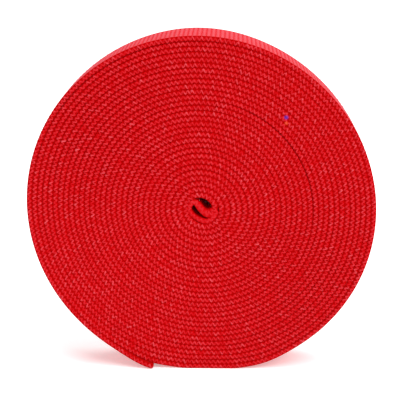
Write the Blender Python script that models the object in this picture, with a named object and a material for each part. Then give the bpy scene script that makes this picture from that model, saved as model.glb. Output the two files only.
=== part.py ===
"""A roll of flat-pressed tubular webbing that stands on its rim.

The roll's axis runs along Y and its near face looks towards -Y. Metres, +Z up. The origin lies on the
surface that the roll stands on, under the middle of the roll's box.
"""

from math import atan2, ceil, cos, exp, hypot, pi, radians, sin, sqrt, tau

import bmesh
import bpy
from mathutils import Vector
from mathutils.geometry import delaunay_2d_cdt

# The strap.
STRAP_WIDTH = 0.025
STRAP_THICKNESS = 0.0021
STRAP_RED = (0.62, 0.012, 0.02, 1.0)

# The winding, seen from -Y. Turns grow counter-clockwise, and turn 0 starts on +X.
TURN_PITCH = 0.00223
FIRST_RADIUS = 0.00254
CORE_SLACK = 0.00275
SLACK_TURNS = 9.0
OVAL_SHARE = 0.0163
OVAL_ANGLE = radians(-39)
FIRST_CREST_TURN = 0.6
FIRST_GROOVE_TURN = 1.25
LOOSE_END_TURN = 30.703
LOOSE_END_LENGTH = 0.040
LOOSE_END_STEPS = 12

# The relief of the two faces: each turn is a low ridge with a groove at either side.
GROOVE_DEPTH = 0.0005
FACE_SAGITTA = 0.00025
RIM_SAGITTA = 0.00006

# The S-shaped start: the strap crosses the middle and leaves an eye on each side.
START_ANGLE = radians(133)
START_CENTRE = (0.0002, 0.0003)
EYE_LENGTH = 0.0076
EYE_WIDTH = 0.0027
EYE_OFFSET = 0.0026
EYE_STEPS = 8
CREST_STEPS = 4

# How it stands.
FLAT_DEPTH = 0.0007
SETTLE_POWER = 7
GAP = 0.0003


def clear_scene():
    for thing in list(bpy.data.objects):
        bpy.data.objects.remove(thing, do_unlink=True)


def winding_radius(turn, angle):
    """The radius of the seam between two turns, on an oval that loosens towards the core."""
    slack = CORE_SLACK * (1 - exp(-turn / SLACK_TURNS))
    oval = 1 + OVAL_SHARE * cos(2 * (angle - OVAL_ANGLE))
    return (FIRST_RADIUS + TURN_PITCH * turn + slack) * oval


def at(radius, angle):
    return Vector((radius * cos(angle), radius * sin(angle)))


def seam_point(turn, shift=0.0):
    """A point on the spiral seam, or a share of a turn outside it."""
    angle = tau * turn
    return at(winding_radius(turn + shift, angle), angle)


LOOSE_START_TURN = LOOSE_END_TURN - LOOSE_END_LENGTH / (tau * winding_radius(LOOSE_END_TURN, 0))
RIM_END_TURN = LOOSE_START_TURN + 1


def rim_radius(angle):
    """The roll's outer radius at an angle: the last whole turn before the loose end."""
    turn = angle / tau
    turn += ceil(LOOSE_START_TURN - turn)
    return winding_radius(turn, angle)


def lowest_point():
    steps = 720
    return min(rim_radius(tau * i / steps) * sin(tau * i / steps) for i in range(steps))


FLOOR_LEVEL = lowest_point() + FLAT_DEPTH


def settled(point):
    """The turns over the flat spot, pressed up a little where the roll's weight rests on them."""
    angle = atan2(point.y, point.x)
    rim = rim_radius(angle)
    over = max(0.0, FLOOR_LEVEL - rim * sin(angle))
    share = min(1.0, hypot(point.x, point.y) / rim)
    return Vector((point.x, point.y + over * share**SETTLE_POWER))


def turns_between(first, last, sagitta):
    """Places along the spiral, close enough that each straight step stays near the curve."""
    places = [first]
    while places[-1] < last:
        radius = winding_radius(places[-1], 0)
        places.append(places[-1] + sqrt(8 * sagitta / radius) / tau)
    spare = (last - first) / (places[-1] - first)
    return [first + (place - first) * spare for place in places]


def eye_outline(side):
    """A lens beside the strap's start, its straighter edge towards the strap."""
    along = at(1, START_ANGLE)
    across = at(1, START_ANGLE - pi / 2) * side
    centre = Vector(START_CENTRE) + across * EYE_OFFSET
    points = []
    for i in range(2 * EYE_STEPS):
        angle = pi * i / EYE_STEPS
        bulge = EYE_WIDTH * (0.62 if sin(angle) > 0 else 0.38)
        points.append(centre + along * cos(angle) * EYE_LENGTH / 2 + across * sin(angle) * bulge)
    return points


class FacePlan:
    """The near face seen from the front: points with a depth, and the lines that the mesh keeps."""

    def __init__(self, rim):
        self.rim = rim
        self.points = []
        self.depths = []
        self.lines = []

    def add_line(self, points, depth):
        """Adds an open line at one depth, and returns the places of its ends."""
        first = len(self.points)
        self.points += [settled(point) for point in points]
        self.depths += [depth] * len(points)
        last = len(self.points) - 1
        self.lines += [(i, i + 1) for i in range(first, last)]
        return first, last


def inside(point, outline):
    """True if the point lies in the closed outline."""
    crossings = 0
    for a, b in zip(outline, outline[1:] + outline[:1], strict=True):
        if (a.y > point.y) != (b.y > point.y):
            x = a.x + (point.y - a.y) / (b.y - a.y) * (b.x - a.x)
            crossings += x > point.x
    return crossings % 2 == 1


def roll_face_plan():
    """The spiral grooves and crests, the rim, the two eyes and the crest of the strap between them."""
    seam = turns_between(FIRST_GROOVE_TURN, LOOSE_START_TURN, FACE_SAGITTA)
    rim = turns_between(LOOSE_START_TURN, RIM_END_TURN, RIM_SAGITTA)
    crest = turns_between(FIRST_CREST_TURN, LOOSE_START_TURN, FACE_SAGITTA)
    plan = FacePlan([settled(seam_point(turn)) for turn in rim])
    _, rim_end = plan.add_line([seam_point(turn) for turn in seam[:-1] + rim], GROOVE_DEPTH)
    rim_start = len(seam) - 1
    plan.lines.append((rim_end, rim_start))
    plan.add_line([seam_point(turn, 0.5) for turn in crest[:-1]], 0.0)
    for side in (1, -1):
        plan.lines.append(plan.add_line(eye_outline(side), GROOVE_DEPTH))
    along = at(1, START_ANGLE) * EYE_LENGTH / 2
    steps = [2 * i / CREST_STEPS - 1 for i in range(CREST_STEPS + 1)]
    plan.add_line([Vector(START_CENTRE) + along * step for step in steps], 0.0)
    return plan


def kept_triangles(plan, points, triangles):
    """The triangles inside the rim and outside both eyes."""
    eyes = [eye_outline(1), eye_outline(-1)]
    for triangle in triangles:
        middle = sum((points[i] for i in triangle), Vector((0, 0))) / 3
        if inside(middle, plan.rim) and not any(inside(middle, eye) for eye in eyes):
            yield triangle


def mesh_object(name, mesh, red):
    """An object in the collection, with a red cloth material of its own."""
    material = bpy.data.materials.new(name)
    material.use_nodes = True
    cloth = material.node_tree.nodes["Principled BSDF"]
    cloth.inputs["Base Color"].default_value = red
    cloth.inputs["Roughness"].default_value = 0.8
    cloth.inputs["Metallic"].default_value = 0.0
    data = bpy.data.meshes.new(name)
    bmesh.ops.recalc_face_normals(mesh, faces=mesh.faces)
    mesh.to_mesh(data)
    mesh.free()
    data.materials.append(material)
    thing = bpy.data.objects.new(name, data)
    bpy.context.collection.objects.link(thing)
    return thing


def wound_roll():
    """One solid: a ridged face on each side and a wall round the rim and the eyes."""
    plan = roll_face_plan()
    merge_distance = 1e-7
    points, _, triangles, origins, _, _ = delaunay_2d_cdt(plan.points, plan.lines, [], 0, merge_distance)
    mesh = bmesh.new()
    near = []
    for point, origin in zip(points, origins, strict=True):
        near.append(mesh.verts.new((point.x, plan.depths[origin[0]] - STRAP_WIDTH / 2, point.y)))
    for triangle in kept_triangles(plan, points, triangles):
        mesh.faces.new([near[i] for i in triangle])
    extruded = bmesh.ops.extrude_face_region(mesh, geom=mesh.faces[:])
    for part in extruded["geom"]:
        if isinstance(part, bmesh.types.BMVert):
            part.co.y = -part.co.y
    return mesh_object("wound_roll", mesh, STRAP_RED)


def loose_end():
    """The end of the outer turn, which leaves the roll a little and touches the surface below."""
    first = LOOSE_START_TURN + GAP / (tau * winding_radius(LOOSE_START_TURN, 0))
    tip_angle = tau * LOOSE_END_TURN
    tip_rim = winding_radius(LOOSE_END_TURN, tip_angle) + GAP + STRAP_THICKNESS
    tip_lift = FLOOR_LEVEL / sin(tip_angle) - tip_rim
    half = STRAP_WIDTH / 2
    flat = half - GROOVE_DEPTH
    section = [(-half, 0.5), (-flat, 0), (flat, 0), (half, 0.5), (flat, 1), (-flat, 1)]
    mesh = bmesh.new()
    rings = []
    for i in range(LOOSE_END_STEPS + 1):
        share = i / LOOSE_END_STEPS
        turn = first + (LOOSE_END_TURN - first) * share
        inner = winding_radius(turn, tau * turn) + GAP + tip_lift * share**2
        ring = []
        for y, height in section:
            point = at(inner + STRAP_THICKNESS * height, tau * turn)
            ring.append(mesh.verts.new((point.x, y, point.y)))
        rings.append(ring)
    for ring, after in zip(rings, rings[1:], strict=False):
        for i in range(len(section)):
            j = (i + 1) % len(section)
            mesh.faces.new((ring[i], ring[j], after[j], after[i]))
    mesh.faces.new(rings[0])
    mesh.faces.new(rings[-1])
    bmesh.ops.triangulate(mesh, faces=mesh.faces[:])
    return mesh_object("loose_end", mesh, STRAP_RED)


def main():
    clear_scene()
    roll = wound_roll()
    sides = [vertex.co.x for vertex in roll.data.vertices]
    middle = (min(sides) + max(sides)) / 2
    for thing in (roll, loose_end()):
        thing.location = (-middle, 0, -FLOOR_LEVEL)


main()
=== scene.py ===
import math

import bpy
import numpy as np
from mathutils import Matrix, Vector


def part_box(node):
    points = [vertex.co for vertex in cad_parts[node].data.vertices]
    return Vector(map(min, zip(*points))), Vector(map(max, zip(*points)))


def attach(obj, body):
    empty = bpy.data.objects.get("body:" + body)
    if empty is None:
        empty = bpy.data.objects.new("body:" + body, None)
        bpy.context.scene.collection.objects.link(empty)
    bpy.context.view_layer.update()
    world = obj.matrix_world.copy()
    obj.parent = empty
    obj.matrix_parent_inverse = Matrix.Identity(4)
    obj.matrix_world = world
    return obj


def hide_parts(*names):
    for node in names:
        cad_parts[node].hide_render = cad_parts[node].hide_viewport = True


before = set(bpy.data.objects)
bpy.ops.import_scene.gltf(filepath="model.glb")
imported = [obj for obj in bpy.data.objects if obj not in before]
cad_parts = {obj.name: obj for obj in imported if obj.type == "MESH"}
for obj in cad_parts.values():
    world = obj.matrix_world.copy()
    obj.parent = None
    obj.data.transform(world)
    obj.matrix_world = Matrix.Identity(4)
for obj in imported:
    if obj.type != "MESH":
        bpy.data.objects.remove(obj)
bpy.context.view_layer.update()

rollLow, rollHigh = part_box("wound_roll")
print("frame loaded: the roll is", round(rollHigh.x - rollLow.x, 4), "m across")

# The winding, in metres and turns, the same as the solids' but for its core and its sag.
# Seen from -Y, turns grow counter-clockwise.
winding = {
    "pitch": 0.00223,  # from one turn to the next
    "firstRadius": 0.00254,
    "coreSlack": 0.00275,  # what the looser turns round the core add to the radius
    "slackTurns": 9.0,
    "ovalShare": 0.0163,
    "ovalAngle": math.radians(-39),  # where the long axis points
    "coreOval": 0.07,  # how much more oval the first turns are
    "coreOvalTurns": 1.2,
    "coreSqueeze": 0.10,  # how much closer the first turns lie
    "coreShift": 0.03,  # and how much more of that is at the lower right
    "tightTurns": 2.4,
    "startTurn": -1.6,  # the turn count at the very start of the strap
    "startSteps": 24,  # steps between two points of the start
    "joinTurn": 1.06,  # where the S-shaped start meets the spiral
    "joinSteps": 18,  # steps of the spiral that set the direction in which the start meets it
    "stepsPerTurn": 360,
    "tipTurn": 30.703,
    "looseLength": 0.040,
    "flatDepth": 0.0007,  # how much the flat spot takes off the rim
    "settlePower": 7,  # how quickly that fades towards the middle
    "rimSteps": 2880,  # places round the rim where its lowest and widest points are looked for
    # how far the outer turns sag on each side of the flat spot: angle and spread in degrees, and depth
    "sags": [(-110, 8, 0.0012), (-68, 9, 0.0008)],
}

# The strap's S-shaped start, listed: across, up and half thickness in mm from the middle of the roll.
startRoute = [
    (6.25, -0.3, 0.65), (5.85, -1.6, 1.0), (5.05, -2.95, 1.1), (4.1, -4.1, 1.1), (2.85, -4.85, 1.1),
    (1.4, -5.15, 1.1), (0.0, -4.9, 1.15), (-1.4, -4.35, 1.1), (-2.65, -3.65, 1.0), (-3.7, -2.8, 0.97),
    (-4.75, -1.75, 0.97), (-5.5, -0.45, 0.97), (-5.65, 0.9, 1.0), (-5.2, 2.2, 1.1), (-4.25, 3.2, 1.15),
    (-3.15, 3.35, 1.25), (-2.2, 2.5, 1.35), (-0.95, 0.75, 1.45), (0.2, -0.55, 1.45), (1.4, -1.4, 1.65),
    (2.45, -1.65, 1.85), (3.4, -1.4, 1.8), (4.35, -0.75, 1.6), (5.1, 0.1, 1.4), (5.4, 1.1, 1.25),
]
mmPerMetre = 1000


def seamRadius(turn, angle):
    # the first turns are closer and more oval
    tight = np.exp((1 - turn) / winding["tightTurns"])
    slack = winding["coreSlack"] * (1 - np.exp(-turn / winding["slackTurns"]))
    oval = winding["ovalShare"] + winding["coreOval"] * np.exp((1 - turn) / winding["coreOvalTurns"])
    along = angle - winding["ovalAngle"]
    squeeze = tight * (winding["coreSqueeze"] + winding["coreShift"] * np.cos(along))
    radius = winding["firstRadius"] + winding["pitch"] * turn + slack
    return radius * (1 - squeeze + oval * np.cos(2 * along))


tipRoundLength = math.tau * seamRadius(winding["tipTurn"], 0)
looseTurn = winding["tipTurn"] - winding["looseLength"] / tipRoundLength


def rimRadius(angle):
    turn = angle / math.tau
    turn = turn + np.ceil(looseTurn - turn)
    return seamRadius(turn, angle)


rimAngles = np.arange(0, math.tau, math.tau / winding["rimSteps"])
floorLevel = (rimRadius(rimAngles) * np.sin(rimAngles)).min() + winding["flatDepth"]
rimSides = rimRadius(rimAngles) * np.cos(rimAngles)
centreX = (rollLow.x + rollHigh.x) / 2 - (rimSides.min() + rimSides.max()) / 2
centreZ = -floorLevel


def sag(angle):
    total = 0
    for middle, spread, depth in winding["sags"]:
        total = total + depth * np.exp(-(((np.degrees(angle) - middle) / spread) ** 2))
    return total


def settled(x, z):
    # turns over the flat spot are pressed up a little, and those beside it sag
    angle = np.arctan2(z, x)
    rim = rimRadius(angle)
    over = np.maximum(0, floorLevel - rim * np.sin(angle))
    share = np.minimum(1, np.hypot(x, z) / rim)
    return x, z + (over - sag(angle)) * share ** winding["settlePower"]


# The strap: flat-pressed tubular webbing, plain woven, with a folded edge on each side.
strap = {
    "width": 0.025,
    "pick": 0.00191,  # from rib to rib
    "stepsPerPick": 4,
    "edgeAngles": [-90, -66, -48, -30, -12, 12, 30, 48, 66, 90],  # in degrees, round the folded edge
    "foldDepth": 0.00024,  # how far back each folded edge rounds off
    "foldPower": 1.2,
    "looseTurns": 24,  # by this turn, the turns lie fully looser along the roll's long axis
    "looseFold": 0.7,  # how much rounder their edges are there
    "looseGap": 0.00003,  # how far they stand apart there
    "tilt": 0.04,  # slope of each turn's edge towards the middle of the roll
    "closeness": 1.005,  # share of the pitch that the cloth fills
    "wander": 0.00014,  # how far a turn stands proud of its neighbours
    "waveSeed": 3,
    "waveCount": 7,
    "wavePace": (0.15, 2.3),  # the slowest and the quickest wave, in waves to a turn
    "waveSize": 1.6,
    "knuckle": 0.00060,  # height of a yarn's knuckle on the edge
    "middling": 0.6,  # the relief that leaves the surface where it is
    "reach": 42,  # how far the zigzag swings to each side, in degrees round the edge
    "spread": 50,  # half width of the zigzag's crest, in degrees
    "crestPower": 0.8,
    "everyOther": 0.10,  # how much every other knuckle is larger than the ones between
    "uneven": 0.12,  # how much one knuckle differs from the next
    "unevenReach": 0.14,  # the same for how far it swings
    "unevenPlace": 0.10,  # and for where it lies, in bends of the zigzag
    "unevenMost": 2,  # no knuckle differs by more than this many times as much
    "spareBends": 12,  # bends that are worked out past the strap's ends
    "nearSeed": 11,  # for the uneven knuckles of the near face, and of the far one
    "farSeed": 12,
    "calmTurns": (0.3, 1.3),  # the start's edge is smoother before the first, and no longer past the second
    "calm": 0.45,  # share of the relief that the start's edge keeps
    "calmHeight": 0.75,  # the even height that its knuckles come close to
    "partPower": 3,  # how close to an open seam the cloth is pushed aside
    "openPower": 0.7,  # how bluntly an open seam starts and ends
    "openDepth": 5,  # how much deeper than wide it is
    "openDepthPower": 12,
    "rib": 0.00044,  # height of the ribs across the flat
    "ribPower": 0.7,
    "columns": 22,  # yarns across the flat
    "crossing": 0.32,  # how much a yarn rises over one pick and dips under the next
    "yarnGroove": 0.12,  # depth of the grooves between the yarns
    "outerTurns": 1.02,  # length of the outer turn, whose flat shows
    "tipRound": 0.0012,  # length over which the cut end rounds off
    "tipThin": 0.3,  # share of the thickness that is left there
    "tipSkew": 0.0016,  # how far the loose end has slipped towards the front at its tip
    "slipPower": 2,
    "liftPower": 3,  # how late the loose end leaves the roll
    "flare": 0.0006,  # how far the outer turn stands off at the back
    "flarePower": 16,
    "leastHeight": 0.00002,  # above the floor
    "edgePaintedShade": (0.38, 0.38),  # painted shade and highlight: relief level painted into the colour in the seam, and what the crest adds
    "flatPaintedShade": (0.60, 0.42),  # the same painted shade and painted sheen for the grooves and ribs of the flat
}

# Seams that stand a little open: first and last turn, and the gap in mm.
openSeams = [(18.97, 19.24, 0.12), (30.08, 30.45, 0.06)]

print("laying out the winding")


def smoothCurve(points, steps):
    # a smooth curve through the points, which passes through each
    points = np.array(points, float)
    before = np.vstack([2 * points[0] - points[1], points[:-1]])
    after = np.vstack([points[1:], 2 * points[-1] - points[-2]])
    slopes = (after - before) / 2
    found = []
    for i in range(len(points) - 1):
        t = np.arange(steps)[:, None] / steps
        found.append(
            (2 * t**3 - 3 * t**2 + 1) * points[i]
            + (t**3 - 2 * t**2 + t) * slopes[i]
            + (3 * t**2 - 2 * t**3) * points[i + 1]
            + (t**3 - t**2) * slopes[i + 1]
        )
    return np.vstack(found + [points[-1:]])


def seamGap(turn):
    # how far a seam stands open, in metres, at each place along the spiral
    gap = np.zeros_like(turn)
    for first, last, width in openSeams:
        share = np.clip((turn - first) / (last - first), 0, 1)
        gap += width / mmPerMetre * np.sin(math.pi * share) ** strap["openPower"]
    return gap


def strapLine():
    # the strap's middle line with its half thickness on each side, evenly spaced along its length
    turns = np.arange(winding["joinTurn"], winding["tipTurn"], 1 / winding["stepsPerTurn"])
    turns = np.append(turns, winding["tipTurn"])
    angles = math.tau * turns
    inner, outer = seamRadius(turns, angles), seamRadius(turns + 1, angles)
    middle = (inner + outer) / 2
    spiral = np.stack([middle * np.cos(angles), middle * np.sin(angles), (outer - inner) / 2], 1)
    hand = [tuple(np.array(point) / mmPerMetre) for point in startRoute]
    steps = winding["startSteps"]
    joined = hand + [tuple(spiral[0]), tuple(spiral[winding["joinSteps"]])]
    start = smoothCurve(joined, steps)[: -(steps + 1)]
    line = np.vstack([start, spiral])
    startTurns = np.linspace(winding["startTurn"], turns[0], len(start), endpoint=False)
    turn = np.concatenate([startTurns, turns])
    along = np.concatenate([[0], np.cumsum(np.linalg.norm(np.diff(line[:, :2], axis=0), axis=1))])
    places = np.arange(0, along[-1], strap["pick"] / strap["stepsPerPick"])
    x, z, half = (np.interp(places, along, line[:, k]) for k in range(3))
    tangent = np.stack([np.gradient(x), np.gradient(z)], 1)
    tangent /= np.linalg.norm(tangent, axis=1)[:, None]
    left = np.clip((places[-1] - places) / strap["tipRound"], 0, 1)
    rounded = np.maximum(strap["tipThin"], np.sqrt(1 - (1 - left) ** 2))
    return {
        "along": places,
        "x": x,
        "z": z,
        "turn": np.interp(places, along, turn),
        "outX": tangent[:, 1],
        "outZ": -tangent[:, 0],
        "half": half * strap["closeness"] * rounded,
    }


line = strapLine()
print("strap length", round(float(line["along"][-1]), 3), "m in", len(line["along"]), "steps")


def waves(turn):
    # slow uneven changes along the strap, most of them between -1 and 1
    dice = np.random.default_rng(strap["waveSeed"])
    slowest, quickest = strap["wavePace"]
    total = np.zeros_like(turn)
    for _ in range(strap["waveCount"]):
        total += np.sin(math.tau * (turn * dice.uniform(slowest, quickest) + dice.random()))
    return total / strap["waveCount"] * strap["waveSize"]


def edgeRelief(phase, angles, seed):
    # the yarns bind the edge in a zigzag, out to one side and back to the other in each pick
    dice = np.random.default_rng(seed)
    bends = 2 * int(line["along"][-1] / strap["pick"]) + strap["spareBends"]

    def uneven(amount):
        return amount * dice.normal(size=bends).clip(-strap["unevenMost"], strap["unevenMost"])

    reach = strap["reach"] * (1 + uneven(strap["unevenReach"]))
    reach[1::2] *= -1
    size = 1 + uneven(strap["uneven"])
    size[::4] += strap["everyOther"]
    size[2::4] -= strap["everyOther"]
    places = np.arange(bends) + uneven(strap["unevenPlace"])
    bend = 2 * (phase + 1)
    crest = np.interp(bend, places, reach)
    height = np.interp(bend, places, size)
    away = (angles - crest[:, None]) / strap["spread"]
    return (1 - away**2).clip(0) ** strap["crestPower"] * height[:, None]


def flatRelief(phase, columns):
    # ribs across the flat, with each yarn over one pick and under the next
    rib = np.abs(np.sin(math.pi * phase)) ** strap["ribPower"]
    height = np.repeat(rib[:, None], 2 * columns + 1, axis=1)
    for j in range(columns):
        over = np.cos(math.pi * (phase - 0.5 + j % 2))
        height[:, 2 * j + 1] += strap["crossing"] * over
    height[:, 0::2] -= strap["yarnGroove"]
    return height.clip(0) / (1 + strap["crossing"])


def strapSurface(first, last, fullFlat, liftOf=None, slipOf=None):
    # rings of points round the strap from one step to another; the outer flat is woven only where it shows
    take = slice(first, last + 1)
    phase = line["along"][take] / strap["pick"]
    turn, x, z = line["turn"][take], line["x"][take], line["z"][take]
    outX, outZ = line["outX"][take], line["outZ"][take]
    half = line["half"][take][:, None]
    lift = np.zeros_like(half) if liftOf is None else liftOf(turn)[:, None]
    slip = np.zeros_like(half) if slipOf is None else slipOf(turn)[:, None]
    angles = np.array(strap["edgeAngles"], float)
    cosines, sines = np.cos(np.radians(angles)).clip(0), np.sin(np.radians(angles))
    fade = cosines ** strap["crestPower"]
    wander = strap["wander"] * waves(turn)[:, None]
    loose = np.cos(2 * (math.tau * turn - winding["ovalAngle"]))[:, None]
    loose = loose * np.clip(turn / strap["looseTurns"], 0, 1)[:, None]
    fold = strap["foldDepth"] * (1 + strap["looseFold"] * loose)
    calm = np.interp(turn, strap["calmTurns"], [strap["calm"], 1])[:, None]
    opened = np.where(angles < 0, seamGap(turn)[:, None], seamGap(turn + 1)[:, None])
    opened = opened + strap["looseGap"] * loose.clip(0)

    # the upper part of the outer turn stands a little loose at the back
    above = np.sin(math.tau * turn).clip(0)[:, None]
    rise = strap["flare"] * above ** strap["flarePower"] * fullFlat

    def flare(y):
        return rise * (0.5 + y / strap["width"])

    def edge(side, seed):
        # one folded edge: side is -1 at the near face and 1 at the far one
        height = edgeRelief(phase + (0.5 if side > 0 else 0), angles, seed)
        height = strap["calmHeight"] + (height - strap["calmHeight"]) * calm
        push = strap["knuckle"] * (height - strap["middling"]) * fade
        parting = np.where(np.abs(angles) < 90, opened * sines ** strap["partPower"] / 2, 0)
        across = lift + half * sines + push * sines - parting + flare(side * strap["width"] / 2)
        out = fold * cosines ** strap["foldPower"] + push * cosines
        out += strap["tilt"] * half * sines + wander
        sunk = strap["openDepth"] * opened * sines ** strap["openDepthPower"]
        y = side * (strap["width"] / 2 - fold + out - sunk)
        arc = side * (strap["width"] / 2 + half * np.radians(90 - angles))
        # colour level: painted shade darkens the seams, painted highlight lightens the taller knuckles
        seam, crest = strap["edgePaintedShade"]
        return across, y, (seam + crest * fade) * height, arc

    parts = [edge(-1, strap["nearSeed"])]
    if fullFlat:
        height = flatRelief(phase, strap["columns"])
        row = np.linspace(-1, 1, 2 * strap["columns"] + 3)[1:-1]
        y = (strap["width"] / 2 - fold) * row
        across = lift + half + strap["rib"] * (height - strap["middling"]) + flare(y)
        # colour level: painted shade in the grooves, painted sheen on the ribs
        groove, crest = strap["flatPaintedShade"]
        parts.append((across, y, groove + crest * height, y))
    parts.append(tuple(part[:, ::-1] for part in edge(1, strap["farSeed"])))
    across, y, relief, arc = (np.concatenate([part[k] for part in parts], axis=1) for k in range(4))
    px, pz = settled(x[:, None] + across * outX[:, None], z[:, None] + across * outZ[:, None])
    height = np.maximum(pz + centreZ, strap["leastHeight"])
    points = np.stack([px + centreX, y - slip, height], axis=2)
    place = np.stack(np.broadcast_arrays(line["along"][take][:, None], arc, 0 * y), axis=2)
    return points, relief, place


def ringMesh(name, points, relief, place, material):
    # a closed tube from the rings, with its relief level, which paints shade and highlight into the colour,
    # and its place on the strap kept for the material
    steps, around = points.shape[:2]
    index = np.arange(steps * around).reshape(steps, around)
    beside = np.roll(index, -1, axis=1)
    quads = np.stack([index[:-1], beside[:-1], beside[1:], index[1:]], axis=2).reshape(-1, 4)
    mesh = bpy.data.meshes.new(name)
    caps = [index[0][::-1], index[-1]]
    mesh.vertices.add(steps * around)
    mesh.vertices.foreach_set("co", points.reshape(-1).astype(np.float32))
    mesh.loops.add(quads.size + 2 * around)
    mesh.loops.foreach_set("vertex_index", np.concatenate([quads.ravel(), *caps]).astype(np.int32))
    starts = np.concatenate([np.arange(len(quads)) * 4, quads.size + np.arange(2) * around])
    mesh.polygons.add(len(starts))
    mesh.polygons.foreach_set("loop_start", starts.astype(np.int32))
    mesh.update(calc_edges=True)
    mesh.validate()
    mesh.shade_smooth()
    heights = mesh.attributes.new("relief", "FLOAT", "POINT")
    heights.data.foreach_set("value", relief.ravel().astype(np.float32))
    spots = mesh.attributes.new("place", "FLOAT_VECTOR", "POINT")
    spots.data.foreach_set("vector", place.reshape(-1).astype(np.float32))
    mesh.materials.append(material)
    piece = bpy.data.objects.new(name, mesh)
    bpy.context.collection.objects.link(piece)
    return piece


print("making the materials")


class Value:
    # a shader number that takes part in ordinary sums
    def __init__(self, shader, socket):
        self.shader = shader
        self.socket = socket

    def maths(self, operation, a, b):
        return self.shader.node("ShaderNodeMath", {"operation": operation}, {0: a, 1: b})

    def __add__(self, other):
        return self.maths("ADD", self, other)

    def __radd__(self, other):
        return self.maths("ADD", other, self)

    def __sub__(self, other):
        return self.maths("SUBTRACT", self, other)

    def __rsub__(self, other):
        return self.maths("SUBTRACT", other, self)

    def __mul__(self, other):
        return self.maths("MULTIPLY", self, other)

    def __rmul__(self, other):
        return self.maths("MULTIPLY", other, self)

    def __truediv__(self, other):
        return self.maths("DIVIDE", self, other)

    def __rtruediv__(self, other):
        return self.maths("DIVIDE", other, self)

    def upTo(self, other):
        return self.maths("MINIMUM", self, other)

    def atLeast(self, other):
        return self.maths("MAXIMUM", self, other)


class Shader:
    # one material and its nodes
    def __init__(self, name):
        self.material = bpy.data.materials.new(name)
        self.material.use_nodes = True
        self.tree = self.material.node_tree
        self.surface = self.tree.nodes["Principled BSDF"]

    def node(self, kind, settings, inputs, output=0):
        made = self.tree.nodes.new(kind)
        for key, value in settings.items():
            if key == "stops":
                ramp = made.color_ramp.elements
                while len(ramp) < len(value):
                    ramp.new(0.5)
                for stop, (place, tint) in zip(ramp, value):
                    stop.position = place
                    stop.color = (*tint, 1)
            else:
                setattr(made, key, value)
        for key, value in inputs.items():
            self.feed(made.inputs[key], value)
        return Value(self, made.outputs[output])

    def feed(self, socket, value):
        if isinstance(value, Value):
            self.tree.links.new(value.socket, socket)
        else:
            socket.default_value = value

    def set(self, **inputs):
        for key, value in inputs.items():
            self.feed(self.surface.inputs[key.replace("_", " ")], value)

    def mix(self, factor, a, b):
        return self.node("ShaderNodeMix", {"data_type": "RGBA"}, {0: factor, 6: a, 7: b}, output=2)


def colour(red, green, blue):
    return (red, green, blue, 1)


webbingLook = {
    # from the bottom of the seams to the crests of the ribs: the red of the webbing, with painted shade
    # darkening the seams and a painted highlight and sheen making the crests and the flat paler and pinker
    "dyeAndPaintedShade": [
        (0.03, (0.44, 0.0, 0.0)),
        (0.22, (0.50, 0.0, 0.001)),
        (0.46, (0.55, 0.003, 0.006)),
        (0.72, (0.62, 0.021, 0.030)),
        (0.96, (0.64, 0.088, 0.108)),
    ],
    "fibreScale": 2600,
    "fibreStretch": (0.15, 1.0, 1.0),  # the fibres run along the strap
    "fibreDetail": 3.0,
    "fibreShade": 0.28,
    "fibreBump": 0.00012,
    "slowScale": 60.0,  # slow changes of shade from one stretch of the strap to another
    "slowDetail": 2.0,
    "slowShade": 0.12,
    "roughness": 0.62,
    "crestSheen": 0.12,  # how much smoother the crests are
    "sheen": 0.2,
    "sheenRoughness": 0.3,
    "sheenTint": (1.0, 0.45, 0.5),
    "specular": 0.02,
    "ink": (0.16, 0.035, 0.34),
    "inkPlace": (0.0353, 0.0405),  # across and up from the middle of the roll
    "inkRadius": 0.0012,
    "inkStrength": 1.0,
    "rust": (0.85, 0.10, 0.01),
    "rustPlace": (0.0354, 0.0380),
    "rustRadius": 0.0009,
    "rustStrength": 0.4,
    "spotRagged": 0.5,  # how far the fibres break up a spot's rim
    "spotSharp": 1.6,
}


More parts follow.
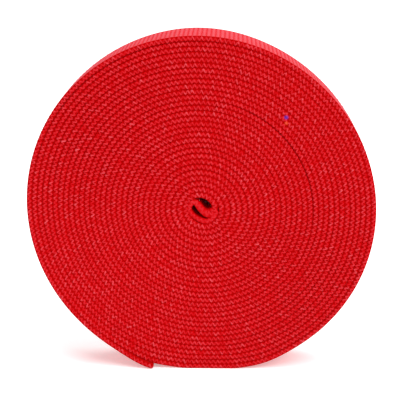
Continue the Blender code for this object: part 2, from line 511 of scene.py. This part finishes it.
def webbingMaterial():
    look = webbingLook
    cloth = Shader("red_webbing")
    relief = cloth.node("ShaderNodeAttribute", {"attribute_name": "relief"}, {}, output=2)
    place = cloth.node("ShaderNodeAttribute", {"attribute_name": "place"}, {}, output=1)
    multiply = {"operation": "MULTIPLY"}
    stretched = cloth.node("ShaderNodeVectorMath", multiply, {0: place, 1: look["fibreStretch"]})
    fine = {"Vector": stretched, "Scale": look["fibreScale"], "Detail": look["fibreDetail"]}
    fibre = cloth.node("ShaderNodeTexNoise", {}, fine)
    coarse = {"Vector": place, "Scale": look["slowScale"], "Detail": look["slowDetail"]}
    slow = cloth.node("ShaderNodeTexNoise", {}, coarse)
    # the relief level sets the painted shade and highlight of the colour
    level = relief + (fibre - 0.5) * look["fibreShade"] + (slow - 0.5) * look["slowShade"]
    # the ramp paints shade into the seams and a highlight and sheen onto the crests
    tone = cloth.node("ShaderNodeValToRGB", {"stops": look["dyeAndPaintedShade"]}, {"Fac": level})
    spot = cloth.node("ShaderNodeTexCoord", {}, {}, output=3)
    for name in ("rust", "ink"):
        across, up = look[name + "Place"]
        middle = (centreX + across, -strap["width"] / 2, centreZ + up)
        distance = {"operation": "DISTANCE"}
        away = cloth.node("ShaderNodeVectorMath", distance, {0: spot, 1: middle}, output=1)
        share = 1 - (away / look[name + "Radius"] + (fibre - 0.5) * look["spotRagged"])
        share = (share * look["spotSharp"]).atLeast(0).upTo(look[name + "Strength"])
        tone = cloth.mix(share, tone, colour(*look[name]))
    raised = {"Height": fibre, "Distance": look["fibreBump"], "Strength": 1.0}
    bump = cloth.node("ShaderNodeBump", {}, raised)
    cloth.set(Base_Color=tone, Normal=bump, Roughness=look["roughness"] - relief * look["crestSheen"])
    cloth.set(Sheen_Weight=look["sheen"], Sheen_Roughness=look["sheenRoughness"])
    cloth.set(Sheen_Tint=colour(*look["sheenTint"]), Specular_IOR_Level=look["specular"], Metallic=0.0)
    return cloth.material


webbing = webbingMaterial()

print("weaving the strap")


def stepAt(turn):
    return int(np.searchsorted(line["turn"], turn))


def looseShare(turn):
    # from 0 where the loose end leaves the roll to 1 at its tip
    return np.clip((turn - looseTurn) / (winding["tipTurn"] - looseTurn), 0, 1)


def tipLift(turn):
    # the loose end leaves the roll until its corner meets the floor
    tipAngle = math.tau * winding["tipTurn"]
    rim = seamRadius(winding["tipTurn"] + 1, tipAngle)
    lift = (floorLevel / math.sin(tipAngle) - rim) * looseShare(turn) ** strap["liftPower"]
    # the end lies in the lower half, where the sags' angles are below zero
    return np.maximum(0, lift - sag(math.tau * (turn % 1 - 1)))


def tipSlip(turn):
    return strap["tipSkew"] * looseShare(turn) ** strap["slipPower"]


outerTurnStart = stepAt(looseTurn - strap["outerTurns"])
looseStart = stepAt(looseTurn)
lastStep = len(line["along"]) - 1
innerPieces = "abcde"
cuts = [round(outerTurnStart * i / len(innerPieces)) for i in range(len(innerPieces) + 1)]
strapPieces = []
for i, letter in enumerate(innerPieces):
    rings = strapSurface(cuts[i], cuts[i + 1], False)
    strapPieces.append(ringMesh("strap_turns_" + letter, *rings, webbing))
rings = strapSurface(outerTurnStart, looseStart, True)
strapPieces.append(ringMesh("strap_outer_turn", *rings, webbing))
rings = strapSurface(looseStart, lastStep, True, tipLift, tipSlip)
looseEnd = ringMesh("strap_loose_end", *rings, webbing)

for piece in strapPieces:
    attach(piece, "root")
    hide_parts("wound_roll")
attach(looseEnd, "root")
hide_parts("loose_end")
for piece in [*strapPieces, looseEnd]:
    count = sum(len(face.vertices) - 2 for face in piece.data.polygons)
    print(piece.name, count, "triangles")

print("setting the stage")

studio = {
    "floorSize": 60.0,
    "floorColour": (0.92, 0.92, 0.92),
    "floorRoughness": 0.9,
    "floorSpecular": 0.1,
    "floorGlow": 0.33,
    "worldColour": (1.0, 1.0, 1.0),
    "worldStrength": 0.48,
    "sunStrength": 2.6,
    "sunSpread": math.radians(50),
    "sunFrom": (0.35, -0.40, 0.85),
    "lampAim": (0, 0, 0.07),
    "lens": 110.7,
    "elevation": 14.86,
    "azimuth": 1.30,
    "distance": 0.5287,
    "aim": (-0.00102, 0.00438),  # across and up from the middle of the near face
}

# each light: name, place, size, watts, colour
lamps = [
    ("top", (-0.05, 0.25, 0.85), 0.7, 3.0, (1.0, 1.0, 1.0)),
]


def addFloor():
    half = studio["floorSize"] / 2
    mesh = bpy.data.meshes.new("floor")
    corners = [(-half, -half, 0), (half, -half, 0), (half, half, 0), (-half, half, 0)]
    mesh.from_pydata(corners, [], [(0, 1, 2, 3)])
    paper = Shader("pale_floor")
    paper.set(Base_Color=colour(*studio["floorColour"]), Roughness=studio["floorRoughness"])
    paper.set(Specular_IOR_Level=studio["floorSpecular"])
    paper.set(Emission_Color=colour(1, 1, 1), Emission_Strength=studio["floorGlow"])
    mesh.materials.append(paper.material)
    floor = bpy.data.objects.new("floor", mesh)
    bpy.context.collection.objects.link(floor)


def pointAt(thing, target):
    thing.rotation_euler = (Vector(target) - thing.location).to_track_quat("-Z", "Y").to_euler()


def addLamps():
    for name, place, size, watts, tint in lamps:
        light = bpy.data.lights.new(name, "AREA")
        light.shape = "DISK"
        light.size = size
        light.energy = watts
        light.color = tint
        lamp = bpy.data.objects.new(name, light)
        lamp.location = place
        pointAt(lamp, studio["lampAim"])
        bpy.context.collection.objects.link(lamp)


def addSun():
    light = bpy.data.lights.new("softbox", "SUN")
    light.energy = studio["sunStrength"]
    light.angle = studio["sunSpread"]
    sun = bpy.data.objects.new("softbox", light)
    sun.location = studio["sunFrom"]
    pointAt(sun, (0, 0, 0))
    bpy.context.collection.objects.link(sun)


def addWorld():
    world = bpy.data.worlds.new("studio")
    world.use_nodes = True
    sky = world.node_tree.nodes["Background"]
    sky.inputs["Color"].default_value = colour(*studio["worldColour"])
    sky.inputs["Strength"].default_value = studio["worldStrength"]
    bpy.context.scene.world = world
    bpy.context.scene.view_settings.view_transform = "Standard"


def addCamera():
    up, turned = math.radians(studio["elevation"]), math.radians(studio["azimuth"])
    face = Vector((centreX, -strap["width"] / 2, centreZ))
    way = Vector((math.sin(turned) * math.cos(up), -math.cos(turned) * math.cos(up), math.sin(up)))
    across, height = studio["aim"]
    camera = bpy.data.objects.new("camera", bpy.data.cameras.new("camera"))
    camera.data.lens = studio["lens"]
    camera.location = face + way * studio["distance"]
    pointAt(camera, face + Vector((across, 0, height)))
    bpy.context.collection.objects.link(camera)
    bpy.context.scene.camera = camera


addFloor()
addLamps()
addSun()
addWorld()
addCamera()
